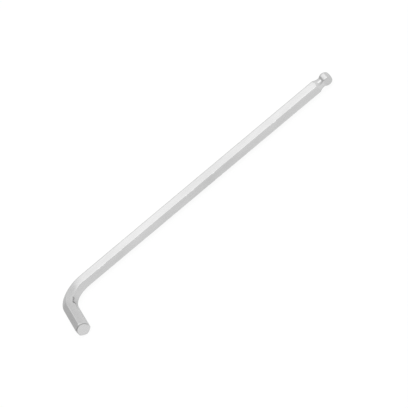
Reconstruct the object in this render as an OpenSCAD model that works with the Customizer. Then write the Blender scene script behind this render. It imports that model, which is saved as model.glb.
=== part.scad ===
// Long-arm hex key with a ball end.
// One bar of hexagonal steel: a long arm that ends in a turned hexagonal ball,
// a right-angle bend, and a short arm with a flat, chamfered end.
// The key lies flat, with its long arm along +X and its short arm along -Y.
// The bar has flats on the inside and the outside of the bend, so the key lies on a
// corner of each arm. The origin is on the surface that it lies on, in the middle of
// the space that the key takes up.

/* [Bar] */
// Size of the hexagon across its flats
across_flats = 8; // [5:0.5:12]
// Radius of the bar's rounded corners
corner_r = 0.6; // [0.3:0.05:1]

/* [Arms] */
// Long arm, from its tip to the outside of the short arm
long_arm = 208; // [100:1:300]
// Short arm, from its flat end to the outside of the long arm
short_arm = 44; // [34:0.5:90]
// Radius of the inside of the bend
bend_inside_r = 10.8; // [5:0.2:16]
// Width of the chamfer on the short arm's end, at the flats
end_chamfer = 0.4; // [0.2:0.05:1]

/* [Ball end] */
// Width across the ball's flats where the dome of the tip starts, as a share of the bar's
tip_share = 0.62; // [0.4:0.02:0.8]
// Radius of the slightly domed tip
tip_dome_r = 9; // [8:0.5:30]
// Depth of the turned neck below the flats
neck_depth = 0.95; // [0.4:0.05:1.5]
// Length of the plain neck behind the ball
neck_length = 1; // [0.4:0.1:4]
// Radius of the hollow curve from the neck up to the full bar
shoulder_r = 5.5; // [3:0.1:12]

/* [Hidden] */

$fn = 96;

// Room that a cutting shape has past what it cuts
spare = 1;

// The hexagon: half its width across the flats, how far its corners would reach if sharp,
// and how far they reach rounded
flat_r = across_flats / 2;
sharp_corner_r = flat_r / cos(30);
corner_centre_r = sharp_corner_r - corner_r / cos(30);
corner_reach = corner_centre_r + corner_r;

// The round corners stand this little over the flats, so that their arcs cross the flats
// instead of only touching them
corner_lift = 0.001;

// The bend, measured to the middle of the bar
bend_r = bend_inside_r + flat_r;

// Lengths of the straight arms, from the middle of the other arm
long_reach = long_arm - flat_r;
short_reach = short_arm - flat_r;

// The dome of the tip starts where the ball's curved flats have come down to this half width
tip_flat_r = tip_share * flat_r;
ball_to_dome = sqrt(pow(flat_r, 2) - pow(tip_flat_r, 2));
dome_height = tip_dome_r - sqrt(pow(tip_dome_r, 2) - pow(tip_flat_r, 2));
ball_to_tip = ball_to_dome + dome_height;
ball_x = long_reach - ball_to_tip;

// The neck starts where it meets the ball's curved flats
neck_r = flat_r - neck_depth;
neck_front_x = ball_x - sqrt(pow(flat_r, 2) - pow(neck_r, 2));
neck_back_x = neck_front_x - neck_length;

// The back of the ball ends inside the neck, past the place where even its corners meet it
corners_in_neck = sqrt(pow(flat_r, 2) - pow(neck_r * cos(30), 2));
ball_back = (corners_in_neck + flat_r) / 2;

// A point at a distance r from the origin, in the direction of the angle a
function polar(r, a) = r * [cos(a), sin(a)];

// The bar's section, with flats facing along X and corners facing along Y
module hexagon_section() {
    polygon([
        for (a = [30:60:330], side = [-30, 30]) polar(corner_centre_r, a) + polar(corner_r, a + side)
    ]);
    for (a = [30:60:330]) translate(polar(corner_centre_r, a)) circle(r = corner_r + corner_lift);
}

// What is drawn or turned about Z, laid along the middle of the long arm.
// X here runs from the middle of the short arm to the tip.
module along_long_arm(x) {
    translate([x, 0, 0]) rotate([90, 0, 90]) children();
}

// The straight part of the long arm
module long_arm_bar() {
    along_long_arm(bend_r) linear_extrude(neck_back_x - bend_r) hexagon_section();
}

// The ring that is turned off the end of the long arm, to leave a hollow shoulder
module shoulder_cut() {
    ring_width = sharp_corner_r - neck_r + 2 * spare;
    along_long_arm(neck_back_x) rotate_extrude() translate([neck_r, 0]) intersection() {
        translate([shoulder_r, 0]) circle(r = shoulder_r);
        translate([-spare, -shoulder_r]) square([ring_width, shoulder_r + spare]);
    }
}

// The right-angle bend, swept about an upright axis on the inside of the corner
module bend() {
    translate([bend_r, -bend_r, 0]) rotate_extrude(angle = 90, start = 90)
        translate([bend_r, 0]) hexagon_section();
}

// The straight part of the short arm, with a chamfer turned on its free end
module short_arm_bar() {
    translate([0, -short_reach, 0]) rotate([-90, 0, 0]) intersection() {
        linear_extrude(short_reach - bend_r) hexagon_section();
        cylinder(r1 = flat_r - end_chamfer, r2 = flat_r - end_chamfer + short_reach, h = short_reach);
    }
}

// The round neck, run on to the middle of the ball
module neck() {
    along_long_arm(neck_back_x) cylinder(r = neck_r, h = ball_x - neck_back_x);
}

// One of three crossed cylinders as wide as the bar. It gives the ball two curved flats,
// facing the angle a and the opposite way.
module curved_flats(a) {
    rotate([90, 0, a]) cylinder(r = flat_r, h = 2 * across_flats, center = true);
}

// The blank of the ball, turned before its flats are cut. It is round about its own middle
// and as thick as the bar with its rounded corners, with a domed tip and a flat back.
module ball_blank() {
    rotate_extrude() intersection() {
        circle(r = corner_reach);
        translate([0, ball_to_tip - tip_dome_r]) circle(r = tip_dome_r);
        translate([0, -ball_back]) square([across_flats, ball_back + ball_to_tip + spare]);
    }
}

// The hexagonal ball. The blank is left only as a small rounded patch on the widest part of
// each edge, and elsewhere the curved flats meet.
module ball() {
    along_long_arm(ball_x) intersection() {
        ball_blank();
        curved_flats(0);
        curved_flats(60);
        curved_flats(120);
    }
}

// The whole key, in one piece
module hex_key() {
    color([0.78, 0.79, 0.8])
        translate([flat_r - long_arm / 2, short_arm / 2 - flat_r, corner_reach]) {
            difference() {
                long_arm_bar();
                shoulder_cut();
            }
            bend();
            short_arm_bar();
            neck();
            ball();
        }
}

hex_key();
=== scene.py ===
# %% [markdown]
# # A ball-end hex key in satin-plated steel
#
# The object is one bar of hexagonal steel, 8 mm across the flats. It is bent once, its long
# arm ends in a turned hexagonal ball, and its short arm ends in a flat, chamfered face. The
# whole key is plated, so its looks are one metal finish that changes from place to place:
# drawn along the arms, creased inside the bend, turned on the ball and the neck, ground on
# the flat end, and rubbed a little brighter on the corners.

import math

import bpy
import numpy as np
from mathutils import Matrix, Vector


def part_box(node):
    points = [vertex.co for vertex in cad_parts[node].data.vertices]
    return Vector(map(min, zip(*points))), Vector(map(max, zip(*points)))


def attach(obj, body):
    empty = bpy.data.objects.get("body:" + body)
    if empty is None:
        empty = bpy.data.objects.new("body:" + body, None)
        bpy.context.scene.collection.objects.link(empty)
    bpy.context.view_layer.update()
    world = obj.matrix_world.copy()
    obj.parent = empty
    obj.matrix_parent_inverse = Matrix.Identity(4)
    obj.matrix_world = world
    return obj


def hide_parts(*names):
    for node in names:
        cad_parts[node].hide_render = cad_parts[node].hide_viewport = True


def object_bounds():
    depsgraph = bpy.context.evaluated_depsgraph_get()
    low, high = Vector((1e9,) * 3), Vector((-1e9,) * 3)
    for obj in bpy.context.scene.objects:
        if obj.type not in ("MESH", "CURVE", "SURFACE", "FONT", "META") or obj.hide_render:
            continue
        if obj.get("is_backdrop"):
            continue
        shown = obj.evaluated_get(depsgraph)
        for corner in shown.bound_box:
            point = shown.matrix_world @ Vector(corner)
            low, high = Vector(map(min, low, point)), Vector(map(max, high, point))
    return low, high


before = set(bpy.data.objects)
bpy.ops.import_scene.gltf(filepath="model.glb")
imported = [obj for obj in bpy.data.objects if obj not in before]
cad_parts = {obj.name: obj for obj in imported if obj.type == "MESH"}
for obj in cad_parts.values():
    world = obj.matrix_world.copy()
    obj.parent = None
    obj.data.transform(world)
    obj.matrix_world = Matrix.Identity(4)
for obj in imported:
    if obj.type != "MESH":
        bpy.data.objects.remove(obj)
cad_low, cad_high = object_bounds()
key_low, key_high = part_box("hex_key")
MM = 0.001
print("lowest and highest corner in mm:", [round(v / MM, 2) for v in (*key_low, *key_high)])

# %% [markdown]
# ## Sizes of the real key
#
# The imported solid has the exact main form. A real bar that is bent cold also changes its
# section: steel is squeezed on the inside of the bend, where it gets wider, and stretched
# thin on the outside. Every turned edge is a little soft from tumbling before the plating.
# The solid has none of this, and to add it by hand would mean moving points one by one. So
# the key is made again here, on the same sizes, as one surface that is a function of two
# parameters: how far along the bar, and how far round it.

# %% Sizes, in millimetres
FLAT_R = 4.0
CORNER_R = 0.6
LONG_ARM, SHORT_ARM = 208.0, 44.0
BEND_INSIDE_R = 10.8
END_CHAMFER = 0.4
NECK_R, NECK_LENGTH = 3.05, 1.0
SHOULDER_R = 5.5
TIP_SHARE, DOME_R = 0.62, 9.0
COS_30 = math.cos(math.radians(30))

CORNER_REACH = (FLAT_R - CORNER_R) / COS_30 + CORNER_R
FACE_R = FLAT_R - END_CHAMFER
BEND_R = BEND_INSIDE_R + FLAT_R
BAR_HEIGHT = (key_low.z + key_high.z) / 2 / MM
BEND_X = FLAT_R - LONG_ARM / 2 + BEND_R
BEND_Y = SHORT_ARM / 2 - FLAT_R - BEND_R

BEND_START = SHORT_ARM - FLAT_R - BEND_R
BEND_END = BEND_START + BEND_R * math.pi / 2
TIP = BEND_END + LONG_ARM - FLAT_R - BEND_R
print(f"along the bar: bend from {BEND_START:.2f} to {BEND_END:.2f} mm, tip at {TIP:.2f} mm")

# %% [markdown]
# ## The ball's own surfaces
#
# Three kinds of surface meet on the ball. Its six curved flats are parts of cylinders that
# are as wide as the bar, so that the ball still fills a hexagon socket when it is tilted.
# Its blank was turned round, as thick as the bar with its rounded corners, and its tip is a
# shallow dome. A modeller could cut a ball with these shapes. Seen from the middle of the
# ball, though, each of them is only a distance that depends on a direction, and the ball is
# the nearest of them all. That takes three short formulas and has no cut to clean up.

# %% The ball as distances from its middle
TIP_FLAT_R = TIP_SHARE * FLAT_R
BALL_TO_DOME = math.sqrt(FLAT_R**2 - TIP_FLAT_R**2)
BALL_TO_TIP = BALL_TO_DOME + DOME_R - math.sqrt(DOME_R**2 - TIP_FLAT_R**2)
BALL = TIP - BALL_TO_TIP
NECK_FRONT = BALL - math.sqrt(FLAT_R**2 - NECK_R**2)
NECK_BACK = NECK_FRONT - NECK_LENGTH
EDGE_HALF_WIDTH = 0.04


def flat_distance(side, lean):
    """Distance from the ball's middle to a curved flat. The flat is a cylinder across the
    bar: the part of the direction that is square to the cylinder's own axis, times the
    distance, is the radius of the bar's flats. Side is the angle from the middle of the
    flat, and lean the angle from the bar's axis, both in radians."""
    return FLAT_R / np.sqrt((np.sin(lean) * np.cos(side)) ** 2 + np.cos(lean) ** 2)


def dome_distance(lean):
    """Distance from the ball's middle to the dome, a ball whose centre is far behind."""
    behind = BALL_TO_TIP - DOME_R
    return behind * np.cos(lean) + np.sqrt(DOME_R**2 - (behind * np.sin(lean)) ** 2)


def edge_side(lean):
    """Angle from the middle of a curved flat to its edge. On the widest part of the ball the
    flat ends where it is as far out as the blank. Elsewhere it runs on to the next flat, and
    the edge is only as wide as its own softness."""
    share = (FLAT_R**2 / CORNER_REACH**2 - np.cos(lean) ** 2) / np.sin(lean) ** 2
    return np.minimum(np.arccos(np.sqrt(np.clip(share, 0, 1))), math.pi / 6 - EDGE_HALF_WIDTH)


print(f"ball: middle at {BALL:.2f} mm, {BALL_TO_TIP:.2f} mm behind the tip")
widest = math.degrees(float(edge_side(np.array(math.pi / 2))))
print(f"at its widest, a flat reaches {widest:.1f} degrees to each side")

# %% [markdown]
# ## Soft edges
#
# Where two surfaces cross, the key's surface is the smaller of two distances, or the larger
# one in a hollow. A plain minimum gives a knife edge, which nothing real has and which
# catches no light. A bevel could round it afterwards. A minimum that is rounded near the
# crossing gives each edge its small radius at once, also where the edge is scalloped.

# %% Rounded minimum and maximum
END_SOFT, SIDE_SOFT, SHOULDER_SOFT = 0.22, 0.12, 0.2
RIDGE_SOFT, NECK_SOFT, TIP_SOFT = 0.2, 0.25, 0.15


def soft_min(first, second, width):
    """The smaller of two values. Where they differ by less than width, a parabola takes off
    a quarter of the width times the square of how near they are."""
    near = np.clip(1 - np.abs(first - second) / width, 0, 1)
    return np.minimum(first, second) - width / 4 * near**2


def soft_max(first, second, width):
    """The larger of two values, rounded in the same way."""
    return -soft_min(-first, -second, width)


print(f"a ridge of the ball is cut back by {-soft_min(0.0, 0.0, RIDGE_SOFT):.2f} mm")

# %% [markdown]
# ## The grid round the bar
#
# Each column of the grid runs along the key at one place round its section. A sector of 60
# degrees has a flat in its middle and half a corner on each side. Even steps would be the
# easy way, but then faces cut across the corners. So the columns are close together on the
# corners and far apart on the flats, and they follow the corner when its radius changes.

# %% Columns and the hexagon's outline
FLAT_STEPS = np.array([0, 0.25, 0.5, 0.7, 0.84, 0.93, 1.0])
CORNER_STEPS = np.linspace(0, 1, 6)[1:]
half_share = np.concatenate([FLAT_STEPS, 1 + CORNER_STEPS])
share = np.tile(np.concatenate([-half_share[:0:-1], half_share[:-1]]), 6)
columns = len(share)
sector = np.repeat(np.arange(6) * math.pi / 3, columns // 6)


def section(corner_r):
    """Angle and radius of the hexagon's outline at every column, seen from the bar's middle.
    A share from 0 to 1 lies on the flat, from its middle to its end. A share from 1 to 2
    lies on the corner's arc, which turns by 30 degrees. The corner's radius is given as
    rows by columns."""
    reach = (FLAT_R - corner_r) / COS_30
    on_flat = np.minimum(np.abs(share), 1)
    turn = np.radians(30) * np.clip(np.abs(share) - 1, 0, 1)
    out = reach * COS_30 + corner_r * np.cos(turn)
    sideways = on_flat * reach / 2 + corner_r * np.sin(turn)
    return sector + np.sign(share) * np.arctan2(sideways, out), np.hypot(out, sideways)


plain_angle, plain_side = section(np.full((1, columns), CORNER_R))
print("columns:", columns, "half width over the corners in mm:", round(plain_side.max(), 3))

# %% [markdown]
# ## What bending does to the bar
#
# In the bend a fibre of steel is shortened or stretched by its distance from the middle of
# the bar over the radius of the bend. What it loses in length it partly gains in width, here
# by a quarter as much. So the inner flat gets some 6 percent wider and the outer flat 7
# percent narrower, and the change fades out over a few millimetres of each arm.

# %% The section in the bend
FADE = 3.0
SPREAD = 0.25
UNSTRAINED = 0.3


def between(along, start, end, fade):
    """1 between two places on the bar and 0 elsewhere, with a smooth rise and fall that
    reach as far as fade to both sides of each place."""
    rise = np.clip((along - start + fade) / (2 * fade), 0, 1)
    fall = np.clip((end + fade - along) / (2 * fade), 0, 1)
    return rise**2 * (3 - 2 * rise) * fall**2 * (3 - 2 * fall)


def upset(out, up, along):
    """Moves points of the section as the bend does. Width is multiplied by 1 less the
    spread times the strain, and the fibre without strain lies a little inside the middle.
    Thickness changes in the same way. Summed outwards that is a parabola, shifted so that
    the inner and the outer flat keep their places."""
    amount = SPREAD * between(along, BEND_START, BEND_END, FADE) / BEND_R
    return out - amount * (out**2 - FLAT_R**2) / 2, up * (1 - amount * (out + UNSTRAINED))


for name, out in (("inner", -FLAT_R), ("outer", FLAT_R)):
    print(name, "flat, width times", round(upset(out, 1.0, (BEND_START + BEND_END) / 2)[1], 3))

# %% [markdown]
# ## The crease inside the bend
#
# The die has pressed the upper inside corner rounder and flatter, where the short arm leaves
# the bend. In the photograph it shows as a short dark streak, because the pressed patch
# mirrors the long arm. Painting the streak would be wrong from any other side. With the
# shape made right, the mirror image comes by itself: the corner's radius grows there, and a
# narrow flat is pressed on it, deeper and less turned the further it lies from the short arm.

# %% The section with its crease
CREASE_R, CREASE_LENGTH, CREASE_FADE = 2.9, 9.4, 1.5
PRESS_NEAR, PRESS_FAR, PRESS_SOFT = 0.08, 0.2, 0.05
TURN_NEAR, TURN_FAR = math.radians(24), math.radians(9.6)
INNER_UPPER_CORNER = math.radians(150)

corner_at = np.mod(sector + np.sign(share) * math.pi / 6, 2 * math.pi)
at_crease = np.isclose(corner_at, INNER_UPPER_CORNER)


def creased_section(along):
    """Angle and radius of the outline with the crease. The radius of the upper inside corner
    grows near the short arm. The pressed flat is one more limit: its distance from the
    middle of the bar, over the cosine of the angle from the way that it faces."""
    creased = between(along, BEND_START, BEND_START + CREASE_LENGTH, CREASE_FADE) * at_crease
    corner_r = CORNER_R + (CREASE_R - CORNER_R) * creased
    angle, side = section(corner_r)
    far = np.clip((along - BEND_START) / CREASE_LENGTH, 0, 1)
    pressed_by = (PRESS_NEAR + (PRESS_FAR - PRESS_NEAR) * far) * creased
    pressed_to = (FLAT_R - corner_r) / COS_30 + corner_r - pressed_by
    faces = INNER_UPPER_CORNER + TURN_NEAR + (TURN_FAR - TURN_NEAR) * far
    from_faces = (np.mod(angle, 2 * math.pi) - faces) * at_crease
    pressed = soft_min(side, pressed_to / np.cos(from_faces), PRESS_SOFT)
    return angle, side + (pressed - side) * creased


crease_middle = creased_section(np.full((1, columns), BEND_START + CREASE_LENGTH / 2))[1]
print("the crease takes off at most", round(float((plain_side - crease_middle).max()), 2), "mm")

# %% [markdown]
# ## Rows on the flat end and its chamfer
#
# Rows have to follow the edges where the chamfer, the shoulder and the ball cut the flats.
# Those edges are scalloped: they lie further from the key's end on a corner than on a flat.
# One set of straight rows would cut across them. So each part of the key gets its own rows,
# which run from one edge to the next at every column. A part is three arrays of rows by
# columns: how far along the bar, the angle round it, and the distance from its middle.

# %% The flat end and its chamfer
ONE_ROW = np.ones((1, columns))
FACE_ROWS, RIM_ROWS, CHAMFER_ROWS, CHAMFER_EDGE_ROWS = 10, 9, 6, 8
FIRST_RING, LAST_RING = 0.12, 0.95
BESIDE_AN_EDGE = 0.1


def steps(start, end, count):
    """Numbers from start to end, one row for each."""
    return np.linspace(start, end, count)[:, None]


def spread_rows(first, last, shares):
    """Rows between two rows: the first, plus a share of the way to the last."""
    return first + shares * (last - first)


rim_inside, rim_outside = (FACE_R - END_SOFT) * ONE_ROW, (FACE_R + END_SOFT) * ONE_ROW
radius = np.concatenate(
    [
        spread_rows(0, rim_inside, steps(FIRST_RING, LAST_RING, FACE_ROWS)),
        spread_rows(rim_inside, rim_outside, steps(0, 1, RIM_ROWS)),
        spread_rows(rim_outside, plain_side - SIDE_SOFT, steps(BESIDE_AN_EDGE, 1, CHAMFER_ROWS)),
    ]
)
angle = np.broadcast_to(plain_angle, radius.shape)
face_part = (soft_max(0, radius - FACE_R, END_SOFT), angle, radius)

along = plain_side - FACE_R + steps(-SIDE_SOFT, SIDE_SOFT, CHAMFER_EDGE_ROWS)[1:]
angle = np.broadcast_to(plain_angle, along.shape)
chamfer_part = (along, angle, soft_min(plain_side, FACE_R + along, SIDE_SOFT))
print("flat end: face radius", FACE_R, "mm, rows", len(radius) + len(along))

# %% [markdown]
# ## Rows on the two arms and the bend
#
# The arms are straight and the same all along, so a few long rows would do for their shape.
# The bend needs many, and so does the crease on it. The rows crowd there, and the section at
# each of them comes from the formulas above.

# %% The two arms and the bend
CHAMFER_END, SHOULDER_ROOM = 1.8, 4.4
SHORT_ROWS, BEND_ROWS, LONG_ROWS = 14, 76, 60

bar_along = ONE_ROW * np.concatenate(
    [
        steps(CHAMFER_END, BEND_START - FADE, SHORT_ROWS)[:-1],
        steps(BEND_START - FADE, BEND_END + FADE, BEND_ROWS)[:-1],
        steps(BEND_END + FADE, NECK_BACK - SHOULDER_ROOM, LONG_ROWS),
    ]
)
bar_part = (bar_along, *creased_section(bar_along))
print("arms and bend: rows", len(bar_along))

# %% [markdown]
# ## Rows on the shoulder
#
# The shoulder is hollow, turned with a round-nosed tool that cut into the six flats. Its
# surface is the smaller of two: the bar, and a ring with a round hollow. The rows start
# before the scalloped edge where the two cross, and end at the neck.

# %% The shoulder
SHOULDER_EDGE, SHOULDER_EDGE_ROWS, HOLLOW_ROWS = 0.35, 11, 16

shoulder_middle = NECK_R + SHOULDER_R
crossing = NECK_BACK - np.sqrt(SHOULDER_R**2 - (shoulder_middle - plain_side) ** 2)
along = np.concatenate(
    [
        crossing + steps(-SHOULDER_EDGE, SHOULDER_EDGE, SHOULDER_EDGE_ROWS),
        spread_rows(crossing + SHOULDER_EDGE, NECK_BACK, steps(0, 1, HOLLOW_ROWS)[1:]),
    ]
)
hollow = shoulder_middle - np.sqrt(SHOULDER_R**2 - (NECK_BACK - along) ** 2)
angle = np.broadcast_to(plain_angle, along.shape)
shoulder_part = (along, angle, soft_min(plain_side, hollow, SHOULDER_SOFT))
print(f"shoulder: from {crossing.min():.2f} mm to {NECK_BACK:.2f} mm, rows {len(along)}")

# %% [markdown]
# ## The ball end
#
# The ball's rows are angles from the bar's axis, counted from the tip. The turned neck is
# one more distance in the same picture, the radius of the neck over the sine of the angle,
# and it meets the ball in a small fillet. The edge between the ball's flats and the dome
# isn't at one angle. It could be solved for, but it is simpler to try many angles and keep
# the one where the two distances are nearest, at every column.

# %% Ball, fillet and dome
BACK_LEAN = math.pi - math.asin(NECK_R / FLAT_R)
NECK_OVERLAP, FILLET, DOME_EDGE = 0.1, 0.2, 0.09
FILLET_ROWS, BALL_ROWS, DOME_EDGE_ROWS, DOME_ROWS = 12, 44, 12, 10
LEAST_TRIED, MOST_TRIED, TRIES = 0.35, 1.2, 400
side_share = np.clip(np.abs(share), 0, 1)
corner_share = np.clip(np.abs(share) - 1, 0, 1)


def side_angle(lean):
    """Angle of each column from the middle of its flat, so that the columns keep to the
    ball's edges: a share of the flat, and then a share of the edge."""
    edge = edge_side(lean)
    return side_share * edge + corner_share * (math.pi / 6 - edge)


def ball_distance(side, lean):
    """The nearest of a curved flat, the next one, the blank and the dome, or the neck's own
    distance where the ball would be thinner than the neck."""
    next_flat = flat_distance(math.pi / 3 - side, lean)
    body = soft_min(flat_distance(side, lean), next_flat, RIDGE_SOFT)
    body = soft_min(body, CORNER_REACH, RIDGE_SOFT)
    body = soft_min(body, dome_distance(lean), TIP_SOFT)
    neck = NECK_R / np.sin(lean)
    return np.where(lean > math.pi / 2, soft_max(body, neck, NECK_SOFT), body)


tried = steps(LEAST_TRIED, MOST_TRIED, TRIES)
flats_and_blank = np.minimum(flat_distance(side_angle(tried), tried), CORNER_REACH)
dome_edge = tried[np.argmin(np.abs(flats_and_blank - dome_distance(tried)), axis=0), 0][None, :]
lean = np.concatenate(
    [
        ONE_ROW * steps(BACK_LEAN + NECK_OVERLAP, BACK_LEAN - FILLET, FILLET_ROWS),
        spread_rows(BACK_LEAN - FILLET, dome_edge + DOME_EDGE, steps(0, 1, BALL_ROWS)[1:]),
        dome_edge + steps(DOME_EDGE, -DOME_EDGE, DOME_EDGE_ROWS)[1:],
        (dome_edge - DOME_EDGE) * steps(1, BESIDE_AN_EDGE, DOME_ROWS)[1:],
    ]
)
side = side_angle(np.maximum(lean, dome_edge))
distance = ball_distance(side, lean)
ball_along = BALL + distance * np.cos(lean)
ball_part = (ball_along, sector + np.sign(share) * side, distance * np.sin(lean))
edge_low, edge_high = np.degrees([dome_edge.min(), dome_edge.max()])
print(f"ball: rows {len(lean)}, dome's edge at {edge_low:.1f} to {edge_high:.1f} degrees")

# %% [markdown]
# ## The neck
#
# Between the shoulder and the ball lies a millimetre of plain turned neck. It only has to
# join the columns of the shoulder to those of the ball, which sit at slightly other angles.

# %% The neck
NECK_ROWS = 2

neck_shares = steps(0, 1, NECK_ROWS + 2)[1:-1]
along = spread_rows(NECK_BACK, ball_part[0][:1], neck_shares)
angle = spread_rows(plain_angle, ball_part[1][:1], neck_shares)
neck_part = (along, angle, np.full_like(along, NECK_R))
print(f"neck: from {NECK_BACK:.2f} to {ball_part[0][0].mean():.2f} mm")

# %% [markdown]
# ## The path of the bar
#
# The parts are stacked into one grid and bent along the path of the bar. Blender could bend
# a straight mesh with a modifier, but then the radius of the bend is hard to set exactly. A
# path that is two lines and a quarter circle needs only three sums.

# %% Bend the grid along the path
parts = [face_part, chamfer_part, bar_part, shoulder_part, neck_part, ball_part]
along, angle, radius = (np.concatenate([part[i] for part in parts]) for i in range(3))
part_of_row = np.repeat(np.arange(len(parts)), [len(part[0]) for part in parts])
rows = len(along)


def on_the_path(along, out, up):
    """Place in the key's own axes. Before the bend, a point lies beside the short arm, and
    past it beside the long one. In the bend, it lies on a circle about the bend's centre,
    with the bend's radius plus its distance out."""
    turn = np.clip((along - BEND_START) / BEND_R, 0, math.pi / 2)
    before = np.minimum(along - BEND_START, 0)
    past = np.maximum(along - BEND_END, 0)
    x = BEND_X - (BEND_R + out) * np.cos(turn) + past
    y = BEND_Y + (BEND_R + out) * np.sin(turn) + before
    return np.stack([x, y, BAR_HEIGHT + up], axis=-1)


out, up = upset(radius * np.cos(angle), radius * np.sin(angle), along)
points = on_the_path(along, out, up).reshape(-1, 3)
ends = on_the_path(np.array([0.0, TIP]), np.zeros(2), np.zeros(2))
print("grid:", rows, "rows by", columns, "columns")
print("lowest", points.min(0).round(3), "highest", points.max(0).round(3))

# %% [markdown]
# ## From the grid to a closed mesh
#
# Four neighbours in the grid make a face, and the last column joins the first, so there is
# no seam. At each end one point closes the grid with a fan. The order of a face's corners
# says which side is outside. The sum of the small pyramids between the faces and the origin
# is the volume: it has to come out positive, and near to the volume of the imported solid.

# %% Faces
row, column = np.meshgrid(np.arange(rows - 1), np.arange(columns), indexing="ij")
here, beside = row * columns + column, row * columns + (column + 1) % columns
quads = np.stack([here, beside, beside + columns, here + columns], axis=-1).reshape(-1, 4)

ring = np.arange(columns)
next_in_ring = (ring + 1) % columns
last_row = (rows - 1) * columns
start_point, tip_point = rows * columns, rows * columns + 1
start_fan = np.stack([np.full(columns, start_point), next_in_ring, ring], axis=-1)
tip_fan = np.stack(
    [np.full(columns, tip_point), last_row + ring, last_row + next_in_ring], axis=-1
)

mesh_points = np.concatenate([points, ends]) * MM
mesh = bpy.data.meshes.new("plated_key")
faces = quads.tolist() + start_fan.tolist() + tip_fan.tolist()
mesh.from_pydata(mesh_points.tolist(), [], faces)
mesh.validate()
mesh.shade_smooth()

triangles = np.concatenate([quads[:, :3], quads[:, [0, 2, 3]], start_fan, tip_fan])
a, b, c = (mesh_points[triangles[:, i]] / MM for i in range(3))
volume = np.einsum("ij,ij->i", a, np.cross(b, c)).sum() / 6
print("faces:", len(mesh.polygons), "volume in cubic mm:", round(volume, 1))

# %% [markdown]
# ## What the finish needs to know
#
# The drawn lines follow the bar round the bend, and the turned parts have their own marks. A
# finish that only knows a point's place in the room can't tell those apart. So each point
# keeps, as an attribute of the mesh, its place in the bar as if it were straight, and how
# much it is on a corner, turned, ground or bent.

# %% Attributes of the mesh
FACE, CHAMFER, BAR, SHOULDER, NECK, BALL_END = range(len(parts))
CORNER_FROM, CORNER_OVER = 0.8, 0.35
CUT_DEPTH = 0.12

straight_place = np.stack([along, out, up], axis=-1).reshape(-1, 3)
straight_ends = np.array([[0, 0, 0], [TIP, 0, 0]])
on_corner = np.clip((np.abs(share) - CORNER_FROM) / CORNER_OVER, 0, 1) * np.ones((rows, 1))
is_turned = np.isin(part_of_row, (CHAMFER, NECK, BALL_END))[:, None] * ONE_ROW
cut_into = np.clip((plain_side - radius) / CUT_DEPTH, 0, 1)
turned = np.where((part_of_row == SHOULDER)[:, None], cut_into, is_turned)
ground = (part_of_row == FACE)[:, None] * ONE_ROW
bent = between(along, BEND_START, BEND_END, FADE)


def keep(name, kind, field, values):
    """Stores one value or one vector for every point of the mesh."""
    flat_values = np.ascontiguousarray(values, np.float32).ravel()
    mesh.attributes.new(name, kind, "POINT").data.foreach_set(field, flat_values)


keep("bar_place", "FLOAT_VECTOR", "vector", np.concatenate([straight_place, straight_ends]))
for name, grid, at_the_ends in (
    ("on_corner", on_corner, (0, 0)),
    ("turned", turned, (0, 1)),
    ("ground", ground, (1, 0)),
    ("bent", bent, (0, 0)),
):
    keep(name, "FLOAT", "value", np.append(grid.ravel(), at_the_ends))
    print(name, "covers", round(100 * float(grid.mean())), "percent of the points")

# %% [markdown]
# ## One piece that stands for the solid
#
# The new surface rides on the key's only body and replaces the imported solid, which stays in
# the model for collision. Its place is in its mesh, so its object stays at the origin.

# %% Join the piece to the model
key = bpy.data.objects.new("plated_key", mesh)
bpy.context.scene.collection.objects.link(key)
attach(key, "root")
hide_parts("hex_key")
print("piece:", key.name, "with", len(mesh.vertices), "points")

# %% [markdown]
# ## Shader maths in plain expressions
#
# A finish is worked out from a place on the key by a lot of small sums. Each sum could be
# a Math node that is added and linked by hand. That hides the formula, so one small class
# wraps a node's output and gives it the usual signs: a sum on such a value adds its Math
# nodes. Every other node comes from one method, which sets the node up and fills its sockets.


# %% Values and node trees
class Value:
    """One output of a node. Sums with it add Math nodes to its tree."""

    def __init__(self, tree, socket):
        self.tree, self.socket = tree, socket

    def __add__(self, other):
        return self.tree.maths("ADD", self, other)

    def __sub__(self, other):
        return self.tree.maths("SUBTRACT", self, other)

    def __rsub__(self, other):
        return self.tree.maths("SUBTRACT", other, self)

    def __mul__(self, other):
        return self.tree.maths("MULTIPLY", self, other)

    __radd__, __rmul__ = __add__, __mul__


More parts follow.
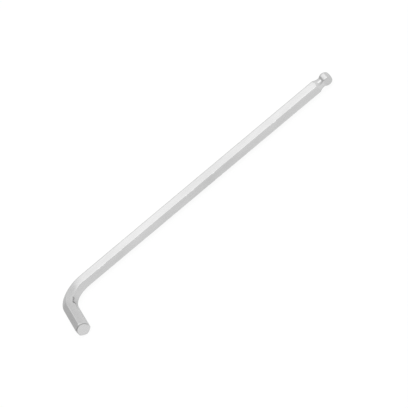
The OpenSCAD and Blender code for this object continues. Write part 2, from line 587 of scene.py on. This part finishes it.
class Tree:
    """The node tree of a material or a world, emptied, with one method that adds nodes."""

    # The sockets of a Mix node for colours: their names repeat, so they go by number
    FIRST_COLOUR, SECOND_COLOUR, MIXED_COLOUR = 6, 7, 2

    def __init__(self, owner):
        owner.use_nodes = True
        self.tree = owner.node_tree
        self.tree.nodes.clear()

    def node(self, kind, settings=None, sockets=None, output=0):
        """Adds a node, sets it up, and then fills or links its sockets."""
        made = self.tree.nodes.new(kind)
        for name, value in (settings or {}).items():
            setattr(made, name, value)
        for name, value in (sockets or {}).items():
            if isinstance(value, Value):
                self.tree.links.new(value.socket, made.inputs[name])
            else:
                made.inputs[name].default_value = value
        return Value(self, made.outputs[output]) if made.outputs else None

    def maths(self, operation, *values):
        """One Math node on two values or numbers."""
        return self.node("ShaderNodeMath", {"operation": operation}, dict(enumerate(values)))

    def vector_maths(self, operation, *vectors, output="Vector"):
        """One Vector Math node on one or two vectors."""
        sockets = dict(enumerate(vectors))
        return self.node("ShaderNodeVectorMath", {"operation": operation}, sockets, output)

    def attribute(self, name, output="Fac"):
        """What the mesh keeps under a name."""
        return self.node("ShaderNodeAttribute", {"attribute_name": name}, None, output)

    def part_of(self, place, axis):
        """One of the three numbers of a place."""
        return self.node("ShaderNodeSeparateXYZ", None, {"Vector": place}, axis)

    def smooth_step(self, value, start, end):
        """0 before start, 1 after end, and a smooth rise between them."""
        sockets = {"Value": value, "From Min": start, "From Max": end}
        return self.node("ShaderNodeMapRange", {"interpolation_type": "SMOOTHSTEP"}, sockets)

    def noise(self, place, grain, detail=2.0, roughness=0.5):
        """Soft noise from about -1 to 1. Grain says how many times it changes in a
        millimetre, along the bar and across it."""
        along, across = grain
        place = self.vector_maths("MULTIPLY", place, (along, across, across))
        sockets = {"Vector": place, "Scale": 1.0, "Detail": detail, "Roughness": roughness}
        return self.node("ShaderNodeTexNoise", {"noise_dimensions": "3D"}, sockets) * 2.0 - 1.0

    def mix_grey(self, share, first, second):
        """A colour that is first where share is 0 and second where it is 1. A plain number
        stands for a grey of that level."""
        first, second = (v if isinstance(v, Value) else (v, v, v, 1.0) for v in (first, second))
        sockets = {"Factor": share, self.FIRST_COLOUR: first, self.SECOND_COLOUR: second}
        return self.node("ShaderNodeMix", {"data_type": "RGBA"}, sockets, self.MIXED_COLOUR)


print("values can be added, subtracted and multiplied, with a number on either side")

# %% [markdown]
# ## Places and patterns of the finish
#
# The flats were drawn through a die, so their fine and broad lines run along the bar. The
# ball, the neck and the chamfer were turned, so their lines run round it. The plating has
# soft clouds of two sizes, the corners are nicked here and there, and small specks lie over
# all. A picture could hold this, but noise that is stretched along the bar never runs out
# or repeats, and costs nothing to load.

# %% Places and patterns
FINE_GRAIN, BROAD_GRAIN, RING_GRAIN = (0.05, 3.5), (0.02, 1.1), (7.0, 0.05)
CLOUD_GRAIN, PLATING_GRAIN = (0.1, 0.35), (0.016, 0.05)
NICK_GRAIN, SPECK_GRAIN = (0.45, 0.45), (1.6, 1.6)
NICKED_FROM, NICKED_TO = 0.18, 0.3

steel = bpy.data.materials.new("satin_plated_steel")
finish = Tree(steel)
place = finish.attribute("bar_place", "Vector")
on_corner_here, turned_here, ground_here, bent_here = (
    finish.attribute(name) for name in ("on_corner", "turned", "ground", "bent")
)

fine_lines = finish.noise(place, FINE_GRAIN, detail=3.0, roughness=0.6)
broad_lines = finish.noise(place, BROAD_GRAIN)
rings = finish.noise(place, RING_GRAIN, roughness=0.6)
lines = fine_lines * (1 - turned_here) + rings * turned_here
clouds = finish.noise(place, CLOUD_GRAIN, detail=3.0, roughness=0.55)
plating = finish.noise(place, PLATING_GRAIN, detail=1.0)
nicks = finish.smooth_step(finish.noise(place, NICK_GRAIN), NICKED_FROM, NICKED_TO)
specks = finish.noise(place, SPECK_GRAIN, roughness=0.6)
print("nodes for places and patterns:", len(steel.node_tree.nodes))

# %% [markdown]
# ## Where each finish lies
#
# The neck is turned too, and smoother than the ball. Its grey is painted lighter, a painted
# highlight that brightens the softbox's reflection on it. The corners of the straight bar are
# rubbed brighter, though not in the bend, where the hand never slides. The chamfer's upper rim
# is painted darker, a painted shade for the dark room that it mirrors. Each of these is a share
# from 0 to 1, worked out from the place in the bar.

# %% Shares of the finish
NECK_FADES = (NECK_FRONT - 0.2, NECK_FRONT + 0.6)
WORN_FROM, WORN_TO = 0.5, 0.95
RIM_WIDTH, RIM_FADES = 0.3, (0.35, 0.6)
UPPER_FROM, UPPER_TO = -1.0, 1.5

along_bar, height = finish.part_of(place, "X"), finish.part_of(place, "Z")
across_bar = finish.vector_maths("MULTIPLY", place, (0, 1, 1))
out_from_axis = finish.vector_maths("LENGTH", across_bar, output="Value")

past_neck = finish.smooth_step(along_bar, *NECK_FADES)
neck_here = turned_here * (1 - past_neck)
worn = finish.smooth_step(on_corner_here + specks * 0.25, WORN_FROM, WORN_TO)
worn = worn * (1 - turned_here) * (1 - bent_here)
# Painted shade: the upper side of the chamfer's rim is marked to be painted darker, for the dark
# room that it mirrors.
past_rim = finish.smooth_step(along_bar, *RIM_FADES)
upper_side = finish.smooth_step(height, UPPER_FROM, UPPER_TO)
near_rim = finish.smooth_step(out_from_axis, FACE_R - RIM_WIDTH, FACE_R)
rim_painted_shade = near_rim * (1 - past_rim) * upper_side
print("nodes so far:", len(steel.node_tree.nodes))

# %% [markdown]
# ## Colour, roughness and bump
#
# The plating is a neutral grey metal, so the whole colour is one level of grey that is mixed
# from place to place. A metal also gets darker than a perfect mirror where one looks along
# it, which the tint of the specular edge sets. The satin is mostly roughness, and a bump of
# a hundredth of a millimetre breaks up the mirror images along the drawn lines.

# %% Colour, roughness and bump
DARK_PLATING, LIGHT_PLATING = 0.545, 0.62
# The neck's grey is lighter than the plating: a painted highlight on the neck.
# The rim's grey is darker than the plating: a painted shade on the chamfer's upper rim.
WORN_GREY, GROUND_GREY, TURNED_GREY, NECK_PAINTED_HIGHLIGHT_GREY, RIM_PAINTED_SHADE_GREY = 0.85, 0.64, 0.555, 0.63, 0.44
LEAST_WORN = 0.35
EDGE_TINT = 0.72
SATIN = 0.21
BUMP_STRENGTH, BUMP_DEPTH = 0.25, 0.01 * MM

colour = finish.mix_grey(0.5 + 0.7 * clouds + 0.6 * plating, DARK_PLATING, LIGHT_PLATING)
worn_share = worn * (LEAST_WORN + (1 - LEAST_WORN) * nicks)
colour = finish.mix_grey(worn_share, colour, WORN_GREY)
colour = finish.mix_grey(ground_here, colour, GROUND_GREY)
colour = finish.mix_grey(0.7 * turned_here, colour, TURNED_GREY)
# Painted highlight: the neck's lighter grey brightens the softbox's reflection on it.
colour = finish.mix_grey(neck_here, colour, NECK_PAINTED_HIGHLIGHT_GREY)
# Painted shade: the upper rim of the chamfer is painted darker.
colour = finish.mix_grey(rim_painted_shade, colour, RIM_PAINTED_SHADE_GREY)

roughness = SATIN + 0.035 * lines + 0.02 * broad_lines + 0.02 * clouds
roughness = roughness + 0.05 * ground_here - 0.04 * worn - 0.05 * neck_here
relief = lines * 0.4 + specks * 0.25
bump = {"Strength": BUMP_STRENGTH, "Distance": BUMP_DEPTH, "Height": relief}
surface = {
    "Base Color": colour,
    "Metallic": 1.0,
    "Specular Tint": (EDGE_TINT, EDGE_TINT, EDGE_TINT, 1.0),
    "Roughness": roughness,
    "Normal": finish.node("ShaderNodeBump", None, bump),
}
shader = finish.node("ShaderNodeBsdfPrincipled", None, surface)
finish.node("ShaderNodeOutputMaterial", None, {"Surface": shader})
mesh.materials.append(steel)
print("nodes in the steel:", len(steel.node_tree.nodes))

# %% [markdown]
# ## The camera
#
# The photograph looks down on the key at about 32 degrees with a long lens, and it is
# turned on its side, so that the long arm runs up to the right. The place, the turn and the
# lens come from fitting the key's outline to the picture.

# %% Camera at the photograph's viewing angle
SENSOR, LENS = 36.0, 155.22
CAMERA_PLACE = Vector((7.68, -865.42, 547.47)) * MM
CAMERA_RIGHT = Vector((0.766856, -0.335825, -0.546950)).normalized()
CAMERA_BACK = Vector((0.008899, -0.846541, 0.532249)).normalized()
NEAREST_SEEN, FURTHEST_SEEN = 0.01, 50.0

camera = bpy.data.objects.new("camera", bpy.data.cameras.new("camera"))
bpy.context.scene.collection.objects.link(camera)
camera_up = CAMERA_BACK.cross(CAMERA_RIGHT).normalized()
axes = Matrix((camera_up.cross(CAMERA_BACK), camera_up, CAMERA_BACK)).transposed()
camera.matrix_world = Matrix.Translation(CAMERA_PLACE) @ axes.to_4x4()
camera.data.sensor_width, camera.data.lens = SENSOR, LENS
camera.data.clip_start, camera.data.clip_end = NEAREST_SEEN, FURTHEST_SEEN
bpy.context.scene.camera = camera
looks_down = math.degrees(math.asin(CAMERA_BACK.z))
print(f"camera: lens {LENS} mm, looking down at {looks_down:.1f} degrees")

# %% [markdown]
# ## The floor
#
# The key lies on white paper that is brighter than the light on it would make it. A stronger
# lamp would burn out the metal. So the paper glows, just short of white, but only for what
# the camera sees: directly, mirrored in metal or through glass. The rest of its brightness
# is plain paper under the lamps, which keeps the key's soft shadow.

# %% Floor
FLOOR_HALF = 6.0
PAPER_GREY, PAPER_GLOW = 0.1, 0.92

floor_mesh = bpy.data.meshes.new("floor")
corners = [(x * FLOOR_HALF, y * FLOOR_HALF, 0) for x, y in ((-1, -1), (1, -1), (1, 1), (-1, 1))]
floor_mesh.from_pydata(corners, [], [(0, 1, 2, 3)])
floor = bpy.data.objects.new("floor", floor_mesh)
bpy.context.scene.collection.objects.link(floor)
floor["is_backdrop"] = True

paper = bpy.data.materials.new("white_paper")
sheet = Tree(paper)
seen_by_camera, seen_in_gloss, seen_through_glass = (
    sheet.node("ShaderNodeLightPath", output=f"Is {ray} Ray")
    for ray in ("Camera", "Glossy", "Transmission")
)
seen = sheet.maths("MINIMUM", seen_by_camera + seen_in_gloss + seen_through_glass, 1.0)
paper_colour = (PAPER_GREY, PAPER_GREY, PAPER_GREY, 1.0)
lit = sheet.node("ShaderNodeBsdfDiffuse", None, {"Color": paper_colour})
glow = {"Color": (1.0, 1.0, 1.0, 1.0), "Strength": seen * PAPER_GLOW}
glow = sheet.node("ShaderNodeEmission", None, glow)
both = sheet.node("ShaderNodeAddShader", None, {0: lit, 1: glow})
sheet.node("ShaderNodeOutputMaterial", None, {"Surface": both})
floor_mesh.materials.append(paper)
print("floor:", 2 * FLOOR_HALF, "m wide, glow", PAPER_GLOW)

# %% [markdown]
# ## The room
#
# A metal object shows its surroundings more than its own colour, so each flat is as light as
# what it mirrors. The short arm's middle flat mirrors the pale floor, and its left flat the
# room. The room is one large soft slope of grey, a little darker to the left and behind the
# camera, which makes that left flat the darkest one. The world's own coordinates give the
# direction.

# %% Room
ROOM_LEVEL = 0.8
ROOM_SLOPE = (0.24, 0.1, 0.07)

room = bpy.data.worlds.new("room")
bpy.context.scene.world = room
air = Tree(room)
direction = air.node("ShaderNodeTexCoord", output="Generated")
level = air.vector_maths("DOT_PRODUCT", direction, ROOM_SLOPE, output="Value") + ROOM_LEVEL
walls = {"Color": (1.0, 1.0, 1.0, 1.0), "Strength": level}
walls = air.node("ShaderNodeBackground", None, walls)
air.node("ShaderNodeOutputWorld", None, {"Surface": walls})
most_change = Vector(ROOM_SLOPE).length
print(f"room: from {ROOM_LEVEL - most_change:.2f} to {ROOM_LEVEL + most_change:.2f}")

# %% [markdown]
# ## The lamps
#
# The long arm's upper flat mirrors what hangs right over the key, so its brightness is that
# of one wide softbox. A softbox is dimmer near its rim, and in the bend the light fades out
# in two steps. So a second, dimmer strip hangs behind the first. Both hang level, because a
# tilted lamp puts a slanting edge of light across the flats.

# %% Lamps
LAMP_X, LAMP_HEIGHT, LAMP_WIDTH = 0.2, 2.4, 3.1


def soft_lamp(name, y, depth, level):
    """A rectangular soft lamp that hangs level over the key and shines straight down. The
    level is the brightness of its face, where 1 is white: the power is the level times pi
    times the area."""
    lamp = bpy.data.lights.new(name, "AREA")
    lamp.shape, lamp.size, lamp.size_y = "RECTANGLE", LAMP_WIDTH, depth
    lamp.energy = level * math.pi * LAMP_WIDTH * depth
    holder = bpy.data.objects.new(name, lamp)
    bpy.context.scene.collection.objects.link(holder)
    holder.location = (LAMP_X, y, LAMP_HEIGHT)
    print(f"{name}: {LAMP_WIDTH} by {depth} m, {lamp.energy:.1f} W")


soft_lamp("overhead_softbox", y=-0.7, depth=1.7, level=0.6)
soft_lamp("softbox_rim", y=0.25, depth=0.2, level=0.36)

# %% [markdown]
# ## Sizes and view settings
#
# Greys are shown as they are written. The box round the new surface should be the packed
# solid's own, and both boxes are printed.

# %% Sizes and finish
bpy.context.scene.view_settings.view_transform = "Standard"
boxes = {"cad": (cad_low, cad_high), "visual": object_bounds()}
for name, (low, high) in boxes.items():
    print(name, "size in mm:", [round(length / MM, 2) for length in high - low])
